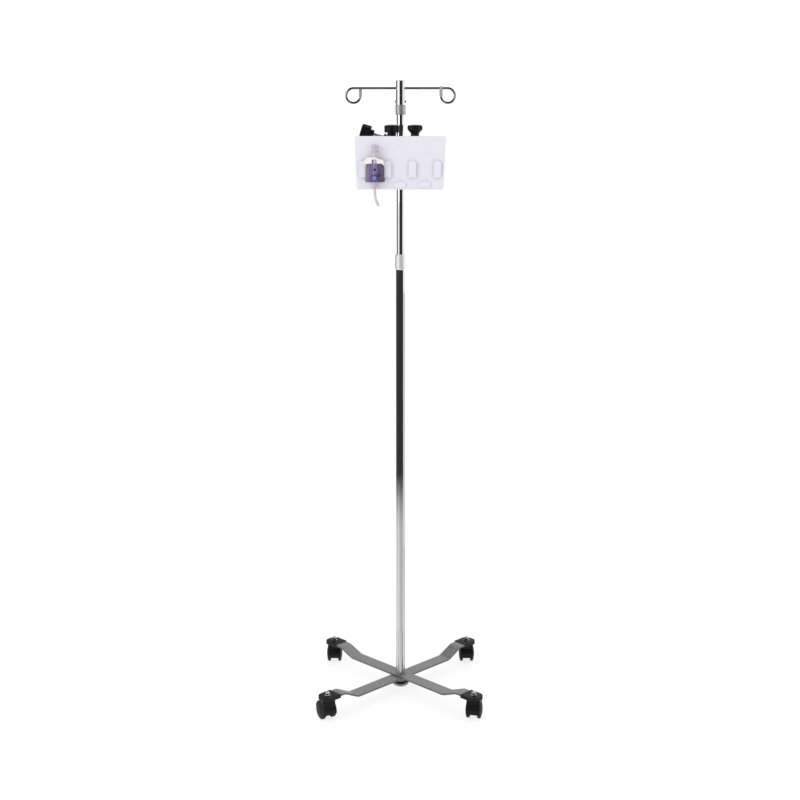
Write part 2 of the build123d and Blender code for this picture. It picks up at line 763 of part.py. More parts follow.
# moving jaw: upright face on the liner, back face square to the screw
jaw_front = -(LINER_RADIUS + 0.15)
jaw_back = 21.4
jaw_socket = 4.0
with BuildPart() as clamp_jaw:
    with BuildSketch(on_clamp_screw(10)):
        Rectangle(24.0, 15.0)
    extrude(amount=jaw_back - 10)
    with BuildSketch(Plane.XY.offset(SCREW_CROSS - 30)):
        with Locations((jaw_front + 20, 0)):
            Rectangle(40.0, 60.0)
    extrude(amount=60, mode=Mode.SUBTRACT)
    with BuildSketch(on_clamp_screw(jaw_back)):
        Circle(CLAMP_SCREW_RADIUS + RUN_FIT)
    extrude(amount=-jaw_socket, mode=Mode.SUBTRACT)
save(clamp_jaw.part, "clamp_jaw")

screw_tip = jaw_back - jaw_socket + GAP
screw_end = CLAMP_KNOB_REACH + 12.0
with BuildPart() as clamp_screw:
    with BuildSketch(on_clamp_screw(screw_tip)):
        Circle(CLAMP_SCREW_RADIUS)
    extrude(amount=screw_end - screw_tip)
save(clamp_screw.part, "clamp_screw")

lobe = 6.4
notch = 5.0
knob_round = 6.0         # rounding of the knob's outer end
knob_face = on_clamp_screw(CLAMP_KNOB_REACH)
with BuildPart() as clamp_knob:
    with BuildSketch(knob_face) as star:
        Circle(STAR_RADIUS - 2.0)
        with PolarLocations(STAR_RADIUS - lobe, STAR_LOBES):
            Circle(lobe)
        with PolarLocations(STAR_RADIUS + 1.5, STAR_LOBES, start_angle=180 / STAR_LOBES):
            Circle(notch, mode=Mode.SUBTRACT)
        fillet(star.vertices(), radius=1.0)
    extrude(amount=CLAMP_KNOB_THICK)
    # barrel that rounds off both ends of the star
    with BuildSketch(Plane(origin=knob_face.origin, x_dir=knob_face.x_dir, z_dir=-knob_face.y_dir)):
        with BuildLine():
            Line((0, 0), (STAR_RADIUS - 2, 0))
            Line((STAR_RADIUS - 2, 0), (STAR_RADIUS, 2))
            Line((STAR_RADIUS, 2), (STAR_RADIUS, CLAMP_KNOB_THICK - knob_round))
            CenterArc((STAR_RADIUS - knob_round, CLAMP_KNOB_THICK - knob_round), knob_round, 0, 90)
            Line((STAR_RADIUS - knob_round, CLAMP_KNOB_THICK), (0, CLAMP_KNOB_THICK))
            Line((0, CLAMP_KNOB_THICK), (0, 0))
        make_face()
    revolve(axis=Axis(knob_face.origin, screw_out), mode=Mode.INTERSECT)
    with BuildSketch(knob_face):
        Circle(11.0)
    extrude(amount=-KNOB_HUB_LENGTH)
    with BuildSketch(on_clamp_screw(CLAMP_KNOB_REACH - KNOB_HUB_LENGTH)):
        Circle(CLAMP_SCREW_RADIUS)
    extrude(amount=screw_end - CLAMP_KNOB_REACH + KNOB_HUB_LENGTH, mode=Mode.SUBTRACT)
save(clamp_knob.part, "clamp_knob")

# ---------------------------------------------------------------- plate bracket
lip = 7.0
channel_floor = 6.0
bracket_wall = 7.5
with BuildPart() as plate_bracket:
    with BuildSketch(Plane.YZ.offset(BRACKET_LEFT)):
        with BuildLine():
            Polyline(
                (BRACKET_BACK, BRACKET_BOTTOM),
                (BRACKET_BACK, BRACKET_TOP),
                (BRACKET_FRONT, BRACKET_TOP),
                (BRACKET_FRONT, BRACKET_TOP - lip),
                (BRACKET_BACK - bracket_wall, BRACKET_TOP - lip),
                (BRACKET_BACK - bracket_wall, BRACKET_BOTTOM + channel_floor),
                (BRACKET_FRONT, BRACKET_BOTTOM + channel_floor),
                (BRACKET_FRONT, BRACKET_BOTTOM),
                close=True,
            )
        make_face()
    extrude(amount=BRACKET_RIGHT - BRACKET_LEFT)
    fillet(plate_bracket.edges().filter_by(Axis.Y).group_by(Axis.Z)[-1], radius=3.0)
    for knob_x in LOCK_X:
        with BuildSketch(Plane.XY.offset(BRACKET_TOP)):
            with Locations((knob_x, LOCK_Y)):
                Circle(LOCK_SCREW_RADIUS + RUN_FIT)
        extrude(amount=-lip, mode=Mode.SUBTRACT)
    for screw_x in BRACKET_SCREW_X:
        with Locations(Plane((screw_x, BRACKET_BACK - bracket_wall, BRACKET_SCREW_Z), z_dir=(0, -1, 0))):
            CounterSinkHole(radius=2.7, counter_sink_radius=5.2, depth=bracket_wall)
save(plate_bracket.part, "plate_bracket")


def bracket_screw(screw_x):
    """Countersunk screw through the bracket's back into the clamp."""
    head = Plane((screw_x, BRACKET_BACK - bracket_wall + 0.1, BRACKET_SCREW_Z), z_dir=(0, 1, 0))
    with BuildPart() as screw:
        with BuildSketch(head):
            Circle(5.0)
        extrude(amount=2.5, taper=45)
        with BuildSketch(head):
            Circle(BRACKET_SCREW_RADIUS)
        extrude(amount=12.6)
        with BuildSketch(head):
            RegularPolygon(1.5, 6)
        extrude(amount=2.0, mode=Mode.SUBTRACT)
    return screw.part


group_of([bracket_screw(x) for x in BRACKET_SCREW_X], "bracket_screws")

flutes = 10
for side, knob_x in zip(("left", "right"), LOCK_X):
    with BuildPart() as lock_pad:
        with BuildSketch(Plane.XY.offset(TONGUE_TOP + 0.2)):
            with Locations((knob_x, LOCK_Y)):
                Circle(6.5)
        extrude(amount=4.0)
        with BuildSketch(Plane.XY.offset(TONGUE_TOP + 2.0)):
            with Locations((knob_x, LOCK_Y)):
                Circle(LOCK_SCREW_RADIUS + RUN_FIT)
        extrude(amount=3.0, mode=Mode.SUBTRACT)
    save(lock_pad.part, f"lock_pad_{side}")

    screw_foot = TONGUE_TOP + 2.0 + GAP
    screw_head = KNOB_DISC_BOTTOM + 9
    with BuildPart() as lock_screw:
        with BuildSketch(Plane.XY.offset(screw_foot)):
            with Locations((knob_x, LOCK_Y)):
                Circle(LOCK_SCREW_RADIUS)
        extrude(amount=screw_head - screw_foot)
    save(lock_screw.part, f"lock_screw_{side}")

    knob_axis = Axis((knob_x, LOCK_Y, 0), (0, 0, 1))
    # left knob: straight disc on a step; right knob: bowl on a slimmer hub
    under = [(11.8, KNOB_DISC_BOTTOM), (LOCK_KNOB_RADIUS - 0.5, KNOB_DISC_BOTTOM)]
    if side == "right":
        under = [(11.0, KNOB_DISC_BOTTOM - 2), (LOCK_KNOB_RADIUS, KNOB_DISC_BOTTOM + 8)]
    with BuildPart() as lock_knob:
        with BuildSketch(Plane.XZ.offset(-LOCK_Y)):
            with BuildLine():
                Polyline(
                    (knob_x, KNOB_HUB_BOTTOM),
                    (knob_x + 11.2, KNOB_HUB_BOTTOM),
                    *[(knob_x + r, z) for r, z in under],
                    (knob_x + LOCK_KNOB_RADIUS, KNOB_TOP - 4.5),
                    (knob_x + LOCK_KNOB_RADIUS - 1.5, KNOB_TOP - 2.5),
                )
                crown = dome_arc((knob_x, KNOB_TOP), 2.5, LOCK_KNOB_RADIUS - 1.5, along=(0, 1))
                CenterArc(crown[0], crown[1], 90 - crown[2], crown[2])
                Line((knob_x, KNOB_TOP), (knob_x, KNOB_HUB_BOTTOM))
            make_face()
        revolve(axis=knob_axis)
        with BuildSketch(Plane.XY.offset(KNOB_DISC_BOTTOM - 4)):
            with Locations((knob_x, LOCK_Y)):
                with PolarLocations(LOCK_KNOB_RADIUS + 2.0, flutes):
                    Circle(3.9)
        extrude(amount=KNOB_TOP - KNOB_DISC_BOTTOM + 8, mode=Mode.SUBTRACT)
        with BuildSketch(Plane.XY.offset(KNOB_HUB_BOTTOM)):
            with Locations((knob_x, LOCK_Y)):
                Circle(LOCK_SCREW_RADIUS)
        extrude(amount=screw_head - KNOB_HUB_BOTTOM, mode=Mode.SUBTRACT)
    save(lock_knob.part, f"lock_knob_{side}")

# ---------------------------------------------------------------- transducer plate
plate_outline = [
    (PLATE_X - PLATE_TOP_HALF, PLATE_TOP),
    (PLATE_X + PLATE_TOP_HALF, PLATE_TOP),
    (PLATE_X + PLATE_BOTTOM_HALF, PLATE_BOTTOM),
    (PLATE_X - PLATE_BOTTOM_HALF, PLATE_BOTTOM),
]
rail_spots = [PLATE_X + RAIL_PITCH * step for step in (-1.5, -0.5, 0.5, 1.5)]
shelf_spots = [PLATE_X + RAIL_PITCH * step for step in (-1, 0, 1)]
with BuildPart() as transducer_plate:
    with BuildSketch(Plane.XZ.offset(PLATE_FRONT - PLATE_DEPTH)) as plate_shape:
        with BuildLine():
            Polyline(*plate_outline, close=True)
        make_face()
        fillet(plate_shape.vertices(), radius=7.0)
    extrude(amount=PLATE_DEPTH)
    fillet(transducer_plate.faces().sort_by(Axis.Y)[0].edges(), radius=3.5)
    with BuildSketch(Plane.XZ.offset(PLATE_FRONT - PLATE_DEPTH)):
        with BuildLine():
            Polyline(*plate_outline, close=True)
        make_face()
        offset(amount=-PLATE_WALL, kind=Kind.INTERSECTION)
    extrude(amount=PLATE_DEPTH - PLATE_WALL, mode=Mode.SUBTRACT)
    # stiffening ribs behind the front wall
    with BuildSketch(Plane.XZ.offset(PLATE_FRONT - PLATE_WALL)):
        for rib_height in (1470.0, 1500.0):
            with Locations((PLATE_X, rib_height)):
                Rectangle(2 * PLATE_BOTTOM_HALF - 2, 2.0)
        for rib_x in (-80.0, 80.0):
            with Locations((PLATE_X + rib_x, (PLATE_TOP + PLATE_BOTTOM) / 2)):
                Rectangle(2.0, PLATE_TOP - PLATE_BOTTOM - 4)
    extrude(amount=-5.0)
    # rails: a stem and a wider head with bevelled top corners
    for rail_x in rail_spots:
        with BuildSketch(Plane.XZ.offset(PLATE_FRONT)):
            with Locations((rail_x, RAIL_BOTTOM + RAIL_HEIGHT / 2)):
                Rectangle(2 * RAIL_STEM_HALF, RAIL_HEIGHT - 6)
        extrude(amount=RAIL_GAP)
        with BuildSketch(Plane.XZ.offset(PLATE_FRONT + RAIL_GAP)):
            with BuildLine():
                Polyline(
                    (rail_x - RAIL_HALF, RAIL_BOTTOM),
                    (rail_x + RAIL_HALF, RAIL_BOTTOM),
                    (rail_x + RAIL_HALF, RAIL_BOTTOM + RAIL_HEIGHT - 5),
                    (rail_x + RAIL_HALF - 5, RAIL_BOTTOM + RAIL_HEIGHT),
                    (rail_x - RAIL_HALF + 5, RAIL_BOTTOM + RAIL_HEIGHT),
                    (rail_x - RAIL_HALF, RAIL_BOTTOM + RAIL_HEIGHT - 5),
                    close=True,
                )
            make_face()
        extrude(amount=RAIL_HEAD)
    # shelves, each with a pointed peg
    with BuildSketch(Plane.XZ.offset(PLATE_FRONT)):
        for shelf_x in shelf_spots:
            with Locations((shelf_x, SHELF_TOP - SHELF_HEIGHT / 2)):
                Rectangle(2 * SHELF_HALF, SHELF_HEIGHT)
    extrude(amount=SHELF_DEPTH)
    with BuildSketch(Plane.XZ.offset(PLATE_FRONT)):
        for shelf_x in shelf_spots:
            with BuildLine():
                Polyline(
                    (shelf_x - 3.5, SHELF_TOP - 1),
                    (shelf_x + 3.5, SHELF_TOP - 1),
                    (shelf_x + 2.2, SHELF_TOP + 5.5),
                    (shelf_x, SHELF_TOP + 8.5),
                    (shelf_x - 2.2, SHELF_TOP + 5.5),
                    close=True,
                )
            make_face()
    extrude(amount=SHELF_DEPTH - 0.6)
    # tongue that the bracket grips
    with BuildSketch(Plane.XZ.offset(PLATE_FRONT - PLATE_WALL)):
        with Locations(((BRACKET_LEFT + BRACKET_RIGHT) / 2, (TONGUE_BOTTOM + TONGUE_TOP) / 2)):
            Rectangle(92.0, TONGUE_TOP - TONGUE_BOTTOM)
    extrude(amount=-(PLATE_FRONT - PLATE_WALL + BRACKET_BACK - 8.0))
save(transducer_plate.part, "transducer_plate")

# ---------------------------------------------------------------- pressure transducer
with BuildPart() as transducer_back:
    with BuildSketch(Plane.XZ.offset(-UNIT_BACK)) as back_shape:
        with Locations((UNIT_X, (UNIT_BOTTOM + UNIT_TOP) / 2)):
            Rectangle(52.0, UNIT_TOP - UNIT_BOTTOM)
        fillet(back_shape.vertices(), radius=3.0)
        with Locations((UNIT_X, UNIT_BOTTOM + 5)):
            Rectangle(9.0, 11.0, mode=Mode.SUBTRACT)
    extrude(amount=UNIT_BACK - UNIT_SPLIT)
save(transducer_back.part, "transducer_back")

with BuildPart() as sensor_board:
    with BuildSketch(Plane.XZ.offset(-UNIT_SPLIT)):
        with Locations((UNIT_X, SENSOR_HEIGHT)):
            Rectangle(24.0, 24.0)
    extrude(amount=1.6)
    with BuildSketch(Plane.XZ.offset(-UNIT_SPLIT + 1.6)):
        with Locations((UNIT_X, SENSOR_HEIGHT + 2)):
            Rectangle(10.0, 8.0)
    extrude(amount=1.4)
save(sensor_board.part, "sensor_board")

block_half = 18.0
wing_half = 25.0
port_rise = 1.9
with BuildPart() as transducer_body:
    with BuildSketch(Plane.XZ.offset(-UNIT_SPLIT)):
        with BuildLine():
            Polyline(
                (UNIT_X - block_half, UNIT_TOP),
                (UNIT_X + block_half, UNIT_TOP),
                (UNIT_X + block_half, UNIT_BOTTOM + 7),
                (UNIT_X + block_half - 7, UNIT_BOTTOM),
                (UNIT_X - block_half + 7, UNIT_BOTTOM),
                (UNIT_X - block_half, UNIT_BOTTOM + 7),
                close=True,
            )
        make_face()
    extrude(amount=UNIT_SPLIT - UNIT_FRONT)
    fillet(transducer_body.edges().filter_by(Axis.Z).group_by(Axis.Y)[0], radius=3.0)
    with BuildSketch(Plane.XZ.offset(-WING_BACK)) as wings:
        with Locations((UNIT_X, (UNIT_TOP + UNIT_BOTTOM) / 2 + 1)):
            Rectangle(2 * wing_half, 38.0)
        chamfer(wings.vertices(), length=4.0)
    extrude(amount=WING_THICK)
    # rounded column round the fluid path
    with BuildSketch(Plane.XY.offset(COLUMN_BOTTOM)):
        with Locations((UNIT_X, FLOW_Y)):
            Circle(COLUMN_RADIUS)
    extrude(amount=UNIT_TOP - COLUMN_BOTTOM)
    # pocket for the sensor's board
    with BuildSketch(Plane.XZ.offset(-UNIT_SPLIT)):
        with Locations((UNIT_X, SENSOR_HEIGHT)):
            Rectangle(25.0, 25.0)
    extrude(amount=4.0, mode=Mode.SUBTRACT)
    # view port
    with BuildSketch(Plane.XZ.offset(-UNIT_FRONT)):
        with Locations((UNIT_X, PORT_HEIGHT)):
            Circle(PORT_RADIUS)
    extrude(amount=port_rise)
    with BuildSketch(Plane.XZ.offset(-UNIT_FRONT + port_rise)):
        with Locations((UNIT_X, PORT_HEIGHT)):
            Circle(PORT_RADIUS / 2)
    extrude(amount=-3.0, mode=Mode.SUBTRACT)
    # luer neck with its flange
    with BuildSketch(Plane.XY.offset(UNIT_TOP - 1)):
        with Locations((UNIT_X, FLOW_Y)):
            Circle(NECK_RADIUS)
    extrude(amount=NECK_TOP - UNIT_TOP + 1)
    with BuildSketch(Plane.XY.offset(UNIT_TOP + 17.6)):
        with Locations((UNIT_X, FLOW_Y)):
            Circle(NECK_RADIUS + 2)
    extrude(amount=2.2)
    with BuildSketch(Plane.XY.offset(NECK_TOP)):
        with Locations((UNIT_X, FLOW_Y)):
            Circle(NECK_RADIUS - 1.2)
    extrude(amount=NECK_TIP - NECK_TOP)
    with BuildSketch(Plane.XY.offset(UNIT_BOTTOM)):
        with Locations((UNIT_X, FLOW_Y)):
            Circle(FLOW_RADIUS)
    extrude(amount=NECK_TIP - UNIT_BOTTOM, mode=Mode.SUBTRACT)
    # seat of the valve's shaft
    with BuildSketch(Plane.XZ.offset(-UNIT_FRONT)):
        with Locations((VALVE_X, VALVE_Z)):
            Circle(3.0 + RUN_FIT)
    extrude(amount=-4.0, mode=Mode.SUBTRACT)
save(transducer_body.part, "transducer_body")

# two drooping shoulders over the body, joined by a bar in front of the neck
shoulder_back = 68.9
with BuildPart() as shoulder_cap:
    with BuildSketch(Plane.XZ.offset(shoulder_back)):
        with BuildLine():
            Polyline(
                (UNIT_X - 28, UNIT_TOP - 1.5),
                (UNIT_X - 28.5, UNIT_TOP + 8),
                (UNIT_X - 20, UNIT_TOP + 15.5),
                (UNIT_X - 7, UNIT_TOP + 16.5),
                (UNIT_X + 5, UNIT_TOP + 16.0),
                (UNIT_X + 7, UNIT_TOP + 12.5),
                (UNIT_X + 18, UNIT_TOP + 10.5),
                (UNIT_X + 23.5, UNIT_TOP + 7),
                (UNIT_X + 24, UNIT_TOP - 5),
                (UNIT_X + 19, UNIT_TOP - 1.5),
                (UNIT_X + 18.3, UNIT_TOP),
                (UNIT_X - 18.3, UNIT_TOP),
                (UNIT_X - 19, UNIT_TOP - 1.5),
                close=True,
            )
        make_face()
    extrude(amount=SHOULDER_DEPTH)
    with BuildSketch(Plane.XY.offset(UNIT_TOP)):
        with Locations((UNIT_X, FLOW_Y)):
            Circle(NECK_RADIUS)
    extrude(amount=20, mode=Mode.SUBTRACT)
    front_edges = shoulder_cap.faces().sort_by(Axis.Y)[0].outer_wire().edges()
    fillet(front_edges.filter_by(lambda e: (e @ 0.5).Z > UNIT_TOP + 4), radius=1.2)
    # the neck shows between the shoulders
    with BuildSketch(Plane.XZ.offset(shoulder_back)):
        with Locations((UNIT_X - 1.7, (UNIT_TOP + SHOULDER_BAR) / 2)):
            Rectangle(12.5, SHOULDER_BAR - UNIT_TOP)
    extrude(amount=SHOULDER_DEPTH, mode=Mode.SUBTRACT)
    with BuildSketch(Plane.XZ.offset(-WING_BACK - GAP)):
        with Locations((UNIT_X, UNIT_TOP - 6)):
            Rectangle(2 * wing_half + 0.6, 12.0)
    extrude(amount=WING_THICK + 2 * GAP, mode=Mode.SUBTRACT)
save(shoulder_cap.part, "shoulder_cap")

with BuildPart() as luer_cap:
    with BuildSketch(Plane.XY.offset(NECK_TOP + GAP)):
        with Locations((UNIT_X, FLOW_Y)):
            Circle(LUER_RADIUS - 1.2)
            with PolarLocations(LUER_RADIUS - 1.5, 8):
                Circle(1.5)
    extrude(amount=LUER_TOP - NECK_TOP - GAP)
    with BuildSketch(Plane.XY.offset(NECK_TOP + GAP)):
        with Locations((UNIT_X, FLOW_Y)):
            Circle(NECK_RADIUS - 1.2 + RUN_FIT)
    extrude(amount=NECK_TIP - NECK_TOP, mode=Mode.SUBTRACT)
    with BuildSketch(Plane.XY.offset(LUER_TOP - 3.0)):
        with Locations((UNIT_X, FLOW_Y)):
            Circle(LUER_RADIUS - 3.4)
    extrude(amount=4, mode=Mode.SUBTRACT)
save(luer_cap.part, "luer_cap")

lever_turn = degrees(atan2(9.4, 14.0))
with BuildPart() as valve_handle:
    with BuildSketch(Plane.XZ.offset(-UNIT_FRONT + GAP)):
        with Locations((VALVE_X, VALVE_Z)):
            Circle(8.0)
    extrude(amount=VALVE_THICK)
    fillet(valve_handle.edges().group_by(Axis.Y)[0], radius=1.0)
    with BuildSketch(Plane.XZ.offset(-UNIT_FRONT + GAP + VALVE_THICK - LEVER_THICK)):
        with Locations(Location((VALVE_X, VALVE_Z, 0), (0, 0, lever_turn))):
            with Locations((9.0, 0)):
                SlotOverall(22.0, 6.0)
    extrude(amount=LEVER_THICK)
    with BuildSketch(Plane.XZ.offset(-UNIT_FRONT + GAP)):
        with Locations((VALVE_X, VALVE_Z)):
            Circle(3.0)
    extrude(amount=-(3.6 + GAP))
save(valve_handle.part, "valve_handle")

outlet_axis = Axis((UNIT_X, FLOW_Y, 0), (0, 0, 1))
with BuildPart() as outlet_nozzle:
    with BuildSketch(Plane.XZ.offset(-FLOW_Y)):
        with BuildLine():
            Polyline(
                (UNIT_X + FLOW_RADIUS, UNIT_BOTTOM),
                (UNIT_X + 9.2, UNIT_BOTTOM),
                (UNIT_X + 9.2, UNIT_BOTTOM - 3),
                (UNIT_X + 7.6, UNIT_BOTTOM - 4.5),
                (UNIT_X + 7.0, NOZZLE_BOTTOM + 3),
                (UNIT_X + 6.0, NOZZLE_BOTTOM),
                (UNIT_X + FLOW_RADIUS, NOZZLE_BOTTOM),
                close=True,
            )
        make_face()
    revolve(axis=outlet_axis)
save(outlet_nozzle.part, "outlet_nozzle")


def corner_radii(points):
    """Radius at each inner point: 0.45 of the shorter run over the tangent of half the turn."""
    radii = []
    for before, here, after in zip(points, points[1:], points[2:]):
        run_in = Vector(*here) - Vector(*before)
        run_out = Vector(*after) - Vector(*here)
        half_turn = radians(run_in.get_angle(run_out)) / 2
        radii.append(0.45 * min(run_in.length, run_out.length) / tan(half_turn))
    return radii


outlet_radii = corner_radii(OUTLET_ROUTE)
with BuildPart() as outlet_tube:
    with BuildLine() as outlet_line:
        FilletPolyline(*OUTLET_ROUTE, radius=outlet_radii)
    with BuildSketch(Plane(origin=OUTLET_ROUTE[0], z_dir=(0, 0, -1))):
        Circle(TUBE_DIAMETER / 2)
    sweep(path=outlet_line.line)
save(outlet_tube.part, "outlet_tube")
tube_length = sum(edge.length for edge in outlet_line.edges())
section = pi * TUBE_DIAMETER**2 / 4
print("outlet tube: corner radii", [round(r, 1) for r in outlet_radii], "mm")
print("outlet tube: length", round(tube_length, 2), "mm")
print("outlet tube: volume over section x length", round(outlet_tube.part.volume / section / tube_length, 4))
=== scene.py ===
"""Studio view of a telescoping infusion stand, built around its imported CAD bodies.

Metres, in the CAD frame: +Z up, the pole's axis through the origin, -Y the side that the
transducer plate faces. A screen's bearings are measured round the pole from -Y towards +X.
"""

import json
from math import cos, pi, radians, sin

import bpy
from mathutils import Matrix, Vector


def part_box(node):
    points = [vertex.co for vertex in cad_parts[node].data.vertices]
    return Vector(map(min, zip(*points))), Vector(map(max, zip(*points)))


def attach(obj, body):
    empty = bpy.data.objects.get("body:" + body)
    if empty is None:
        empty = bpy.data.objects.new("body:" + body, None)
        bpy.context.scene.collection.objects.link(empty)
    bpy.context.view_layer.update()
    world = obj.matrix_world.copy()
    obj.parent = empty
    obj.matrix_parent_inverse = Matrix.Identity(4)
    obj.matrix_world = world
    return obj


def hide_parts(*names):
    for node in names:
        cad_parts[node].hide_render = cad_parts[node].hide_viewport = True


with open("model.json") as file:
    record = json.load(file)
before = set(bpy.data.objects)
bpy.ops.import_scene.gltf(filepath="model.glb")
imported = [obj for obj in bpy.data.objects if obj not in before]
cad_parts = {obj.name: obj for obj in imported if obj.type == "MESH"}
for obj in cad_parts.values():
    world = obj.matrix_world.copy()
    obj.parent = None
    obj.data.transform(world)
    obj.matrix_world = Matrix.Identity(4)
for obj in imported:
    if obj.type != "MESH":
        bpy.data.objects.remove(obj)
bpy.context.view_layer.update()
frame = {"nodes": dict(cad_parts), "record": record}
MM = 0.001

# ---------------------------------------------------------------- camera
CAMERA_PLACE = (-0.0017, -3.678, 1.620)
CAMERA_PITCH = radians(11.64)    # below the horizon
CAMERA_LENS = 60.35
CAMERA_SENSOR = 36.0


def link(thing):
    """Puts a new object in the scene."""
    bpy.context.scene.collection.objects.link(thing)
    return thing


def make_camera():
    data = bpy.data.cameras.new("camera")
    data.lens = CAMERA_LENS
    data.sensor_width = CAMERA_SENSOR
    camera = link(bpy.data.objects.new("camera", data))
    camera.location = CAMERA_PLACE
    camera.rotation_euler = (pi / 2 - CAMERA_PITCH, 0, 0)
    bpy.context.scene.camera = camera


make_camera()


# ---------------------------------------------------------------- materials
NOISE_LOW, NOISE_HIGH = 0.3, 0.7     # nearly all of a noise's values lie between these
BLACK_SHEEN = 0.22                   # specular level of the black plastics
UPRIGHT_LOW, UPRIGHT_HIGH = 0.3, 0.6     # how far up a face looks, from painted shade to unchanged


def new_material(name, colour, **finish):
    """A material whose shader has these constant settings; underscores stand for spaces."""
    material = bpy.data.materials.new(name)
    material.use_nodes = True
    shader = material.node_tree.nodes["Principled BSDF"]
    shader.inputs["Base Color"].default_value = (*colour, 1)
    for setting, value in finish.items():
        shader.inputs[setting.replace("_", " ")].default_value = value
    return material


def socket(material, name):
    """An input of the material's shader."""
    return material.node_tree.nodes["Principled BSDF"].inputs[name]


def add_node(material, kind, **inputs):
    """A new node of a material, with these inputs set or linked."""
    node = material.node_tree.nodes.new("ShaderNode" + kind)
    for name, value in inputs.items():
        entry = node.inputs[name.replace("_", " ")]
        if isinstance(value, bpy.types.NodeSocket):
            material.node_tree.links.new(value, entry)
        else:
            entry.default_value = value
    return node


def place_on(material, stretch=(1, 1, 1)):
    """Position on the piece in metres, stretched along each axis."""
    where = add_node(material, "TexCoord").outputs["Object"]
    return add_node(material, "Mapping", Vector=where, Scale=stretch).outputs["Vector"]


def noise(material, grain, detail=3.0, stretch=(1, 1, 1)):
    """Noise from 0 to 1 whose lumps are about grain metres across."""
    where = place_on(material, stretch)
    return add_node(material, "TexNoise", Vector=where, Scale=0.5 / grain, Detail=detail).outputs["Fac"]


def cells(material, size):
    """Distance to the nearest of many scattered points, size metres apart."""
    where = place_on(material)
    node = add_node(material, "TexVoronoi", Vector=where, Scale=1 / size)
    node.feature = "SMOOTH_F1"
    return node.outputs["Distance"]


def ramp_along(material, value, stops):
    """Colour that follows (position, colour) stops along value."""
    ramp = add_node(material, "ValToRGB", Fac=value)
    for position, colour in stops[1:-1]:
        ramp.color_ramp.elements.new(position)
    for element, (position, colour) in zip(ramp.color_ramp.elements, stops):
        element.position = position
        element.color = (*colour, 1)
    return ramp.outputs["Color"]


def rescale(material, value, low, high, to_low=0.0, to_high=1.0):
    """Value rescaled so that low to high becomes to_low to to_high."""
    return add_node(material, "MapRange", Value=value, From_Min=low, From_Max=high,
                    To_Min=to_low, To_Max=to_high).outputs["Result"]


def vector_math(material, operation, vector):
    """A vector node whose first input is this vector."""
    node = add_node(material, "VectorMath")
    node.operation = operation
    material.node_tree.links.new(vector, node.inputs[0])
    return node


def vary_colour(material, value, dark, light, low=NOISE_LOW, high=NOISE_HIGH):
    """Base colour that runs from dark to light as value goes from low to high."""
    colour = ramp_along(material, value, [(low, dark), (high, light)])
    material.node_tree.links.new(colour, socket(material, "Base Color"))


def vary_roughness(material, value, smooth, rough):
    """Roughness that runs from smooth to rough over a noise's usual values."""
    roughness = rescale(material, value, NOISE_LOW, NOISE_HIGH, smooth, rough)
    material.node_tree.links.new(roughness, socket(material, "Roughness"))


def raise_surface(material, value, depth, strength=1.0):
    """Fine relief: value 0 to 1 stands for this depth in metres."""
    bump = add_node(material, "Bump", Height=value, Distance=depth, Strength=strength)
    material.node_tree.links.new(bump.outputs["Normal"], socket(material, "Normal"))


def paint_shade_on_upright_faces(material, share):
    """Multiplies the base colour by share on faces that don't look up: painted shade on sides and
    undersides.
    """
    paint = socket(material, "Base Color").links[0].from_socket
    split = add_node(material, "SeparateXYZ", Vector=add_node(material, "NewGeometry").outputs["Normal"])
    stops = [(UPRIGHT_LOW, (share, share, share)), (UPRIGHT_HIGH, (1, 1, 1))]
    painted_shade = ramp_along(material, split.outputs["Z"], stops)
    mix = add_node(material, "MixRGB", Fac=1.0, Color1=paint, Color2=painted_shade)
    mix.blend_type = "MULTIPLY"
    material.node_tree.links.new(mix.outputs["Color"], socket(material, "Base Color"))


def scaled(colour, share):
    """A colour with each channel multiplied by share."""
    return tuple(channel * share for channel in colour)


def chrome(name, colour, smooth, rough):
    """Polished plate: faint lengthwise polishing marks and a hint of waviness."""
    material = new_material(name, colour, Metallic=1.0)
    marks = noise(material, 0.6 * MM, stretch=(1, 1, 0.02))
    vary_roughness(material, marks, smooth, rough)
    vary_colour(material, noise(material, 30 * MM), scaled(colour, 0.97), colour)
    raise_surface(material, marks, 0.002 * MM)
    return material


def turned_metal(name, colour, smooth, rough, groove=0.02 * MM, metallic=1.0):
    """Satin metal with fine marks that run round the pole."""
    material = new_material(name, colour, Metallic=metallic)
    marks = noise(material, 0.35 * MM, detail=4.0, stretch=(0.04, 0.04, 1))
    vary_roughness(material, marks, smooth, rough)
    vary_colour(material, noise(material, 5 * MM), scaled(colour, 0.93), colour)
    raise_surface(material, marks, groove)
    return material


def grainy_metal(name, colour, smooth, rough, grain, depth):
    """Cast, plated or pressed metal with an even fine grain."""
    material = new_material(name, colour, Metallic=1.0)
    lumps = noise(material, grain, detail=5.0)
    vary_roughness(material, noise(material, 8 * MM), smooth, rough)
    vary_colour(material, noise(material, 4 * MM, detail=5.0), scaled(colour, 0.86), colour)
    raise_surface(material, lumps, depth)
    return material


def hammertone(name, colour):
    """Hammered powder coat: rounded dimples and pale flecks under a satin lacquer, with painted shade on
    faces that don't look up.
    """
    material = new_material(name, colour, Metallic=0.25, Coat_Weight=0.25, Coat_Roughness=0.3)
    dimples = cells(material, 3.2 * MM)
    flecks = noise(material, 2.2 * MM, detail=5.0)
    vary_colour(material, flecks, scaled(colour, 0.66), scaled(colour, 1.34))
    # painted shade: the bars' sides and undersides darkened to 0.55 of their colour
    paint_shade_on_upright_faces(material, 0.55)
    vary_roughness(material, flecks, 0.34, 0.5)
    raise_surface(material, dimples, 0.35 * MM, strength=0.6)
    return material


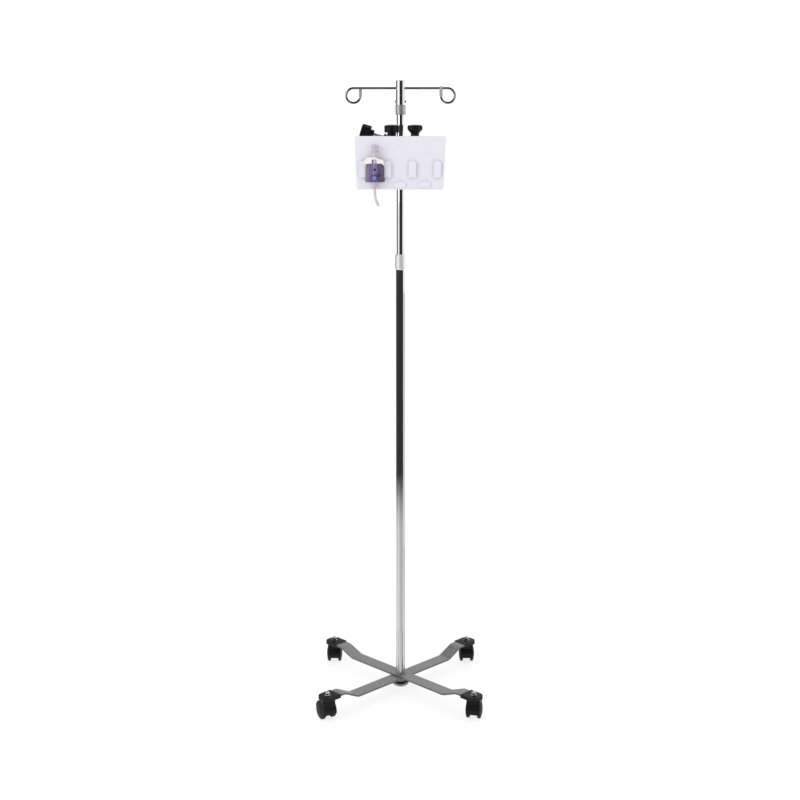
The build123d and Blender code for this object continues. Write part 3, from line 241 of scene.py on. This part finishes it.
def moulded(name, colour, smooth, rough, grain=0.5 * MM, depth=0.03 * MM, dust=1.25, **finish):
    """Moulded plastic with a spark-eroded grain and slightly paler handled patches."""
    material = new_material(name, colour, **finish)
    patches = noise(material, 9 * MM, detail=5.0)
    vary_colour(material, patches, colour, scaled(colour, dust), low=0.4, high=0.8)
    vary_roughness(material, patches, smooth, rough)
    raise_surface(material, noise(material, grain, detail=2.0), depth)
    return material


def scuffed(name, colour):
    """Wheel plastic: satin, with grey scuffs in short streaks."""
    material = new_material(name, colour, Specular_IOR_Level=BLACK_SHEEN)
    streaks = noise(material, 1.5 * MM, detail=6.0, stretch=(0.4, 1, 1))
    vary_colour(material, streaks, colour, (0.05, 0.05, 0.049), low=0.6, high=0.85)
    vary_roughness(material, streaks, 0.36, 0.6)
    raise_surface(material, streaks, 0.04 * MM)
    return material


def clear_plastic(name, colour, transmission, rough, tinge=0.9):
    """Clear tinted moulding with a soft cloudiness in random patches."""
    material = new_material(name, colour, Transmission_Weight=transmission, IOR=1.49)
    cloud = noise(material, 6 * MM)
    vary_colour(material, cloud, scaled(colour, tinge), colour)
    vary_roughness(material, cloud, rough, rough * 1.6)
    raise_surface(material, noise(material, 2 * MM), 0.01 * MM)
    return material


UNIT_X = -68.2 * MM              # middle of the transducer
BODY_TOP = 1517 * MM
BODY_HALF = 25 * MM              # the body's colour bands cover this much to each side
NECK_BLEND = 1 * MM
PORT_CENTRE = (UNIT_X, -82.5 * MM, 1501 * MM)
PORT_DARK, PORT_CLEAR = 2.6 * MM, 4.0 * MM       # radii between which the port's colour fades
VALVE_CENTRE = (UNIT_X - 1.5 * MM, -88.3 * MM, 1479 * MM)
VALVE_PALE, VALVE_DARK = 3 * MM, 8 * MM          # radii between which the valve turns to navy
NECK_LILAC = (0.70, 0.62, 0.77)
WING_VIOLET = (0.36, 0.30, 0.42)
CORE_VIOLET = (0.21, 0.165, 0.33)
COLUMN_VIOLET = (0.27, 0.21, 0.37)
PORT_VIOLET = (0.05, 0.03, 0.06)
# (share of the way from the body's left to its right, colour)
BODY_BANDS = [
    (0.0, WING_VIOLET), (0.13, WING_VIOLET),
    (0.17, CORE_VIOLET), (0.33, CORE_VIOLET),
    (0.40, COLUMN_VIOLET), (0.58, COLUMN_VIOLET),
    # right-hand bands: the same violets darkened, painted shade on the body's right side
    (0.67, scaled(CORE_VIOLET, 0.68)), (0.83, scaled(CORE_VIOLET, 0.66)),
    (0.87, scaled(WING_VIOLET, 0.58)), (1.0, scaled(WING_VIOLET, 0.55)),
]


def distance_to(material, place):
    """Distance in metres from a point."""
    node = vector_math(material, "DISTANCE", add_node(material, "TexCoord").outputs["Object"])
    node.inputs[1].default_value = place
    return node.outputs["Value"]


def tinted_body(name):
    """Violet body: pale wings, dark core, middle column with a dark port, lilac neck; the right-hand bands
    are darker as painted shade.
    """
    material = new_material(name, NECK_LILAC, Transmission_Weight=0.25, IOR=1.49)
    split = add_node(material, "SeparateXYZ", Vector=add_node(material, "TexCoord").outputs["Object"])
    across = rescale(material, split.outputs["X"], UNIT_X - BODY_HALF, UNIT_X + BODY_HALF)
    bands = ramp_along(material, across, BODY_BANDS)
    clear = rescale(material, distance_to(material, PORT_CENTRE), PORT_DARK, PORT_CLEAR)
    body = add_node(material, "MixRGB", Fac=clear, Color2=bands)
    body.inputs["Color1"].default_value = (*PORT_VIOLET, 1)
    height = rescale(material, split.outputs["Z"], BODY_TOP - NECK_BLEND, BODY_TOP + NECK_BLEND)
    mix = add_node(material, "MixRGB", Fac=height, Color1=body.outputs["Color"])
    mix.inputs["Color2"].default_value = (*NECK_LILAC, 1)
    material.node_tree.links.new(mix.outputs["Color"], socket(material, "Base Color"))
    vary_roughness(material, noise(material, 6 * MM), 0.12, 0.2)
    raise_surface(material, noise(material, 2 * MM), 0.01 * MM)
    return material


def blue_handle(name):
    """Valve handle: navy lever on a disc with a paler middle."""
    material = new_material(name, (0.1, 0.11, 0.3), Specular_IOR_Level=0.4)
    outward = rescale(material, distance_to(material, VALVE_CENTRE), VALVE_PALE, VALVE_DARK)
    vary_colour(material, outward, (0.2, 0.22, 0.5), (0.035, 0.04, 0.17), low=0.0, high=1.0)
    vary_roughness(material, noise(material, 5 * MM), 0.22, 0.3)
    raise_surface(material, noise(material, 0.5 * MM), 0.02 * MM)
    return material


def circuit_board(name, colour):
    """Green solder mask over slightly paler tracks."""
    material = new_material(name, colour, Roughness=0.35)
    where = place_on(material)
    tracks = add_node(material, "TexBrick", Vector=where, Scale=1 / (3.0 * MM), Mortar_Size=0.12)
    vary_colour(material, tracks.outputs["Fac"], colour, scaled(colour, 2.2))
    raise_surface(material, tracks.outputs["Fac"], 0.03 * MM)
    return material


PLATE_COLOUR = (0.735, 0.72, 0.79)
FINISHES = {
    "bar_paint": hammertone("hammertone_grey", (0.21, 0.21, 0.213)),
    "chrome_tube": chrome("tube_chrome", (0.83, 0.835, 0.84), 0.03, 0.07),
    # the hook rod's chrome at half the tube's brightness: painted darkness for the dark surroundings it
    # reflects
    "chrome_rod": chrome("rod_chrome_painted_dark", (0.42, 0.42, 0.425), 0.04, 0.09),
    "satin_aluminium": turned_metal("satin_aluminium", (0.72, 0.72, 0.715), 0.2, 0.34),
    "cast_aluminium": grainy_metal("cast_aluminium", (0.60, 0.60, 0.61), 0.38, 0.5, 0.8 * MM, 0.06 * MM),
    "zinc_steel": grainy_metal("zinc_plate", (0.84, 0.85, 0.87), 0.12, 0.24, 0.4 * MM, 0.01 * MM),
    # dish steel held dark: painted shade for the shadow under the crossing bars
    "dish_steel": turned_metal("pressed_steel_painted_shade", (0.33, 0.33, 0.325), 0.3, 0.45),
    "spring_steel": grainy_metal("spring_steel", (0.40, 0.42, 0.46), 0.25, 0.4, 0.4 * MM, 0.01 * MM),
    "black_plastic": moulded("black_moulding", (0.010, 0.010, 0.011), 0.34, 0.5,
                             Specular_IOR_Level=BLACK_SHEEN),
    "caster_plastic": moulded("caster_moulding", (0.007, 0.007, 0.008), 0.28, 0.42,
                              Specular_IOR_Level=BLACK_SHEEN),
    "wheel_plastic": scuffed("wheel_nylon", (0.008, 0.008, 0.009)),
    "knob_plastic": moulded("knob_moulding", (0.005, 0.005, 0.006), 0.24, 0.36, depth=0.05 * MM,
                            Specular_IOR_Level=BLACK_SHEEN),
    "white_nylon": moulded("white_nylon", (0.78, 0.77, 0.73), 0.4, 0.5, dust=1.03),
    "grey_vinyl": moulded("grey_vinyl", (0.30, 0.30, 0.295), 0.45, 0.6, dust=1.08),
    "plate_plastic": moulded("plate_moulding", PLATE_COLOUR, 0.28, 0.36, grain=1.5 * MM,
                             depth=0.02 * MM, dust=1.02),
    "violet_plastic": tinted_body("violet_clear"),
    "lilac_plastic": clear_plastic("lilac_clear", (0.73, 0.65, 0.79), 0.4, 0.12),
    "cream_plastic": moulded("cream_moulding", (0.80, 0.765, 0.74), 0.22, 0.3, dust=1.03),
    "blue_plastic": blue_handle("blue_moulding"),
    "board_green": circuit_board("solder_mask", (0.03, 0.2, 0.09)),
    "clear_vinyl": clear_plastic("clear_vinyl", (0.70, 0.675, 0.665), 0.2, 0.2),
}

# two collars in the same slot, one bead-blasted and one bright
NODE_FINISHES = {
    "stop_collar": turned_metal("blasted_aluminium", (0.56, 0.56, 0.555), 0.46, 0.58, metallic=0.85),
    "lock_collar": turned_metal("bright_aluminium", (0.95, 0.95, 0.945), 0.36, 0.48, metallic=0.65),
}


def finish_piece(piece, slot):
    """Gives a piece the finish of one of the record's material slots."""
    piece.data.materials.clear()
    piece.data.materials.append(FINISHES[slot])


def new_piece(name, points, faces, slot, body):
    """A mesh piece that rides on a body."""
    mesh = bpy.data.meshes.new(name)
    mesh.from_pydata(points, [], faces)
    mesh.validate()
    mesh.shade_smooth()
    piece = link(bpy.data.objects.new(name, mesh))
    finish_piece(piece, slot)
    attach(piece, body)
    return piece


# ---------------------------------------------------------------- outlet hose
HOSE_ROUTE = [
    (-0.0682, -0.076, 1.4520),
    (-0.0682, -0.076, 1.4403),
    (-0.0671, -0.076, 1.4280),
    (-0.0637, -0.076, 1.4162),
    (-0.0584, -0.076, 1.4056),
]
HOSE_DIAMETER = 0.008
HOSE_BORE = 0.0052
HOSE_SIDES = 32
HOSE_RESOLUTION = 10             # curve points to each point of the route
HOSE_SHARP = radians(50)


def hose_line():
    """Points of the smooth curve that the hose's route controls."""
    data = bpy.data.curves.new("hose_route", "CURVE")
    data.dimensions = "3D"
    data.resolution_u = HOSE_RESOLUTION
    spline = data.splines.new("NURBS")
    spline.points.add(len(HOSE_ROUTE) - 1)
    for point, place in zip(spline.points, HOSE_ROUTE):
        point.co = (*place, 1.0)
    spline.order_u = 3
    spline.use_endpoint_u = True
    holder = link(bpy.data.objects.new("hose_route", data))
    bpy.context.view_layer.update()
    line = bpy.data.meshes.new_from_object(holder)
    points = [vertex.co.copy() for vertex in line.vertices]
    bpy.data.objects.remove(holder)
    return points


def directions_along(line):
    """Unit direction at each point of a line."""
    ends = zip([line[0], *line[:-1]], [*line[1:], line[-1]])
    return [(after - before).normalized() for before, after in ends]


def make_hose():
    """Soft tube with an open bore, cut off square."""
    line = hose_line()
    side = Vector((0, 1, 0))
    points = []
    for centre, along in zip(line, directions_along(line)):
        other = along.cross(side).normalized()
        for radius in (HOSE_DIAMETER / 2, HOSE_BORE / 2):
            for step in range(HOSE_SIDES):
                turn = 2 * pi * step / HOSE_SIDES
                points.append(centre + radius * (cos(turn) * side + sin(turn) * other))
    faces = []
    ring = 2 * HOSE_SIDES
    last = ring * (len(line) - 1)
    for step in range(HOSE_SIDES):
        after = (step + 1) % HOSE_SIDES
        inner, inner_after = step + HOSE_SIDES, after + HOSE_SIDES
        for base in range(0, last, ring):
            faces.append((base + step, base + ring + step, base + ring + after, base + after))
            faces.append((base + inner_after, base + ring + inner_after, base + ring + inner, base + inner))
        faces.append((step, after, inner_after, inner))
        faces.append((last + after, last + step, last + inner, last + inner_after))
    hose = new_piece("outlet_hose", points, faces, "clear_vinyl", "transducer")
    hose.data.set_sharp_from_angle(angle=HOSE_SHARP)
    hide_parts("outlet_tube")


make_hose()

# ---------------------------------------------------------------- screw threads
THREAD_SIDES = 24
THREAD_RISE = 0.38 * MM     # crest over the plain screw
THREAD_SINK = 0.1 * MM      # root below its surface
THREAD_FILL = 0.46          # half of a ridge's foot, as a share of the pitch
THREAD_SHARP = radians(40)
STUD_RADIUS = 4.0 * MM
STUD_PITCH = 1.25 * MM
STUD_TIP = 0.9 * MM         # plain tip above the ridge
STUD_REACH = 286.8 * MM     # studs from the pole's axis
STUD_ANGLES = {"rear_right": 45, "rear_left": 135, "front_left": 225, "front_right": 315}   # from +X to +Y
SCREW_RADIUS = 4.5 * MM
SCREW_PITCH = 1.5 * MM
SCREW_TILT = radians(17)    # clamp screw above level
SCREW_CROSS = Vector((0, 0, 1569.8 * MM))    # where its line meets the pole's axis
BOSS_END = 49.3 * MM        # both measured along the screw from there
KNOB_START = 75.8 * MM


def thread(name, foot, along, radius, length, pitch, body):
    """Helical ridge round a plain screw, fading out at both ends."""
    side = along.orthogonal().normalized()
    other = along.cross(side)
    steps = round(length / pitch * THREAD_SIDES)
    fade = THREAD_SIDES // 3
    points = []
    for step in range(steps + 1):
        turn = 2 * pi * step / THREAD_SIDES
        outward = cos(turn) * side + sin(turn) * other
        height = length * step / steps
        crest = THREAD_RISE * min(1, step / fade, (steps - step) / fade)
        for shift, rise in ((-THREAD_FILL, -THREAD_SINK), (0, crest), (THREAD_FILL, -THREAD_SINK)):
            level = min(max(height + shift * pitch, 0), length)
            points.append(foot + along * level + outward * (radius + rise))
    faces = [(0, 1, 2), (3 * steps + 2, 3 * steps + 1, 3 * steps)]
    for base in range(0, 3 * steps, 3):
        for low, high in ((0, 1), (1, 2), (2, 0)):
            faces.append((base + low, base + 3 + low, base + 3 + high, base + high))
    ridge = new_piece(name, points, faces, "zinc_steel", body)
    ridge.data.set_sharp_from_angle(angle=THREAD_SHARP)


def make_threads():
    """Ridges on the four studs, the two locking screws and the clamp screw."""
    up = Vector((0, 0, 1))
    nut_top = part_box("stem_nuts")[1].z
    stem_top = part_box("caster_stems")[1].z - STUD_TIP
    for corner, angle in STUD_ANGLES.items():
        turn = radians(angle)
        foot = Vector((STUD_REACH * cos(turn), STUD_REACH * sin(turn), nut_top))
        thread(f"stem_thread_{corner}", foot, up, STUD_RADIUS, stem_top - nut_top, STUD_PITCH, "base")
    for side in ("left", "right"):
        low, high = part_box(f"lock_screw_{side}")
        foot = Vector(((low.x + high.x) / 2, (low.y + high.y) / 2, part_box("plate_bracket")[1].z))
        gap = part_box(f"lock_knob_{side}")[0].z - foot.z
        thread(f"lock_thread_{side}", foot, up, STUD_RADIUS, gap, STUD_PITCH, f"lock_screw_{side}")
    outward = Vector((-cos(SCREW_TILT), 0, sin(SCREW_TILT)))
    foot = SCREW_CROSS + outward * BOSS_END
    thread("clamp_thread", foot, outward, SCREW_RADIUS, KNOB_START - BOSS_END, SCREW_PITCH, "clamp_screw")


make_threads()

# ---------------------------------------------------------------- CAD nodes
SLOT_OF = {part["node"]: part["material_slot"] for part in frame["record"]["subparts"]}
for node, piece in frame["nodes"].items():
    finish_piece(piece, SLOT_OF[node])
    if node in NODE_FINISHES:
        piece.data.materials[0] = NODE_FINISHES[node]

# ---------------------------------------------------------------- floor, light and reflections
WORLD_LIGHT = 1.06
FLOOR_COLOUR = (0.22, 0.22, 0.22)
FLOOR_GLOW = 0.79        # light paper, so that shadows stay faint
FLOOR_HALF = 40.0
KEY_PLACE = (-1.9, -1.5, 2.1)
KEY_AIM = (0, 0, 1.2)
KEY_SIZE = (1.2, 1.8)
KEY_POWER = 13.0
SCREEN_STEPS = 24
DISC_STEPS = 48
SCREEN_DISTANCE = 2.4
STRIP_DISTANCE = SCREEN_DISTANCE - 0.05     # just inside the others
RIGHT_DISTANCE = 1.35
SCREEN_TOP = 4.0
EDGE_TOP = 1.5
LOW_TOP = 1.0
FLOOR_SCREEN_HEIGHT = 0.2 * MM
DARK, DIM, STRIP, CEILING, BRIGHT = 0.035, 0.05, 0.06, 0.08, 0.75     # radiances
FLOOR_FADE = [           # share of the screens' distance, and radiance there
    (0.05, 0.98), (0.2, 0.88), (0.35, 0.84), (0.66, 0.78), (0.79, 0.60), (0.91, 0.28), (1.0, 0.10),
]
FLOOR_SWEEP = [          # place from far left to far right, and share of that radiance
    (0.0, 0.80), (0.06, 1.0), (0.19, 0.90), (0.38, 0.73), (0.58, 0.62), (0.78, 0.61), (0.93, 0.80),
    (1.0, 0.90),
]
# name, bearings in degrees, top, distance and radiance
SCREENS = [
    ("front_screen", (-38, 50), SCREEN_TOP, SCREEN_DISTANCE, DARK),
    ("front_right_edge", (50, 56), EDGE_TOP, SCREEN_DISTANCE, DARK),
    ("low_left_screen", (-90, -38), LOW_TOP, SCREEN_DISTANCE, DARK),
    ("rear_left_screen", (-172, -90), SCREEN_TOP, SCREEN_DISTANCE, DIM),
    ("low_right_edge", (56, 66), LOW_TOP, SCREEN_DISTANCE, DARK),
    ("low_left_strip", (-70, -58), LOW_TOP, STRIP_DISTANCE, STRIP),
    ("low_right_screen", (66, 188), LOW_TOP, RIGHT_DISTANCE, BRIGHT),
]


def make_world():
    """Even white surroundings, shown without a film look."""
    world = bpy.data.worlds.new("studio")
    world.use_nodes = True
    background = world.node_tree.nodes["Background"]
    background.inputs["Color"].default_value = (1, 1, 1, 1)
    background.inputs["Strength"].default_value = WORLD_LIGHT
    bpy.context.scene.world = world
    bpy.context.scene.view_settings.view_transform = "Standard"


def make_floor():
    """Pale paper floor that reaches past the view."""
    mesh = bpy.data.meshes.new("floor")
    half = FLOOR_HALF
    corners = [(-half, -half, 0), (half, -half, 0), (half, half, 0), (-half, half, 0)]
    mesh.from_pydata(corners, [], [(0, 1, 2, 3)])
    paper = new_material("floor_paper", FLOOR_COLOUR, Roughness=0.9, Specular_IOR_Level=0.1,
                         Emission_Color=(1, 1, 1, 1), Emission_Strength=FLOOR_GLOW)
    mesh.materials.append(paper)
    link(bpy.data.objects.new("floor", mesh))


def softbox(name, place, aim, size, power):
    """Rectangular light that faces a point."""
    data = bpy.data.lights.new(name, "AREA")
    data.shape = "RECTANGLE"
    data.size, data.size_y = size
    data.energy = power
    lamp = link(bpy.data.objects.new(name, data))
    lamp.location = place
    lamp.rotation_euler = (Vector(aim) - Vector(place)).to_track_quat("-Z", "Y").to_euler()
    lamp.visible_camera = False


def screen_material(name, radiance):
    """Evenly glowing grey."""
    material = bpy.data.materials.new(name)
    material.use_nodes = True
    nodes = material.node_tree.nodes
    nodes.clear()
    glow = nodes.new("ShaderNodeEmission")
    glow.inputs["Color"].default_value = (radiance, radiance, radiance, 1)
    output = nodes.new("ShaderNodeOutputMaterial")
    material.node_tree.links.new(glow.outputs["Emission"], output.inputs["Surface"])
    return material


def only_in_reflections(screen):
    """Hides a studio screen from everything but mirror reflections."""
    screen.visible_camera = False
    screen.visible_diffuse = False
    screen.visible_transmission = False
    screen.visible_shadow = False


def curved_screen(name, bearings, top, distance, radiance):
    """Upright screen round the pole, between two bearings in degrees, from the floor to its top."""
    points, faces = [], []
    for step in range(SCREEN_STEPS + 1):
        turn = radians(bearings[0] + (bearings[1] - bearings[0]) * step / SCREEN_STEPS)
        for height in (0, top):
            points.append((distance * sin(turn), -distance * cos(turn), height))
    for step in range(SCREEN_STEPS):
        base = 2 * step
        faces.append((base, base + 2, base + 3, base + 1))
    mesh = bpy.data.meshes.new(name)
    mesh.from_pydata(points, [], faces)
    mesh.materials.append(screen_material(name, radiance))
    only_in_reflections(link(bpy.data.objects.new(name, mesh)))


def flat_screen(name, height, material):
    """Level disc round the pole, out to the curved screens."""
    turns = [2 * pi * step / DISC_STEPS for step in range(DISC_STEPS)]
    points = [(SCREEN_DISTANCE * cos(turn), SCREEN_DISTANCE * sin(turn), height) for turn in turns]
    mesh = bpy.data.meshes.new(name)
    mesh.from_pydata(points, [], [tuple(range(DISC_STEPS))])
    mesh.materials.append(material)
    only_in_reflections(link(bpy.data.objects.new(name, mesh)))


def grey_ramp(material, value, stops):
    """Grey that follows (position, level) stops along value."""
    return ramp_along(material, value, [(position, (level, level, level)) for position, level in stops])


def fading_material(name):
    """Grey floor as polished metal sees it: fading outward, and dimmest right of the middle."""
    material = screen_material(name, 1.0)
    where = add_node(material, "TexCoord").outputs["Object"]
    distance = vector_math(material, "LENGTH", where).outputs["Value"]
    direction = vector_math(material, "NORMALIZE", where).outputs["Vector"]
    across = add_node(material, "SeparateXYZ", Vector=direction).outputs["X"]
    fade = grey_ramp(material, rescale(material, distance, 0.0, SCREEN_DISTANCE), FLOOR_FADE)
    sweep = grey_ramp(material, rescale(material, across, -1.0, 1.0), FLOOR_SWEEP)
    mix = add_node(material, "MixRGB", Fac=1.0, Color1=fade, Color2=sweep)
    mix.blend_type = "MULTIPLY"
    glow = material.node_tree.nodes["Emission"]
    material.node_tree.links.new(mix.outputs["Color"], glow.inputs["Color"])
    return material


make_world()
make_floor()
softbox("key_softbox", KEY_PLACE, KEY_AIM, KEY_SIZE, KEY_POWER)
for screen in SCREENS:
    curved_screen(*screen)
flat_screen("floor_screen", FLOOR_SCREEN_HEIGHT, fading_material("floor_screen"))
flat_screen("ceiling_screen", SCREEN_TOP, screen_material("ceiling_screen", CEILING))
